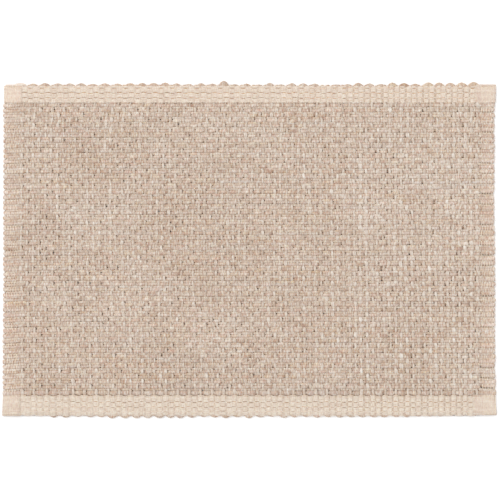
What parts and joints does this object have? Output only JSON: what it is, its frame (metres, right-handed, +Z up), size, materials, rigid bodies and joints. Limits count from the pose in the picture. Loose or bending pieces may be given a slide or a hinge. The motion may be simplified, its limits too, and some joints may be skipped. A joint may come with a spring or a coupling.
{
  "type": "woven placemat",
  "caption": "Rectangular handwoven placemat, a thick ribbed cloth with plain cream hems at its two long ends and scalloped ribbed selvedges.",
  "frame": {"origin": "centre of the mat's outline, on its flat underside", "axes": "+X along the long side, the way the thick weft ribs run; +Y across the ribs, from the lower hem to the upper one in the picture; +Z up, out of the top face"},
  "size_m": [0.482, 0.329, 0.004],
  "materials": {
    "woven_cotton": "matte handwoven cloth of thick greige yarn with fine cream yarn in the hems"
  },
  "bodies": {
    "root": {"mat": "woven_cotton"}
  },
  "joints": []
}
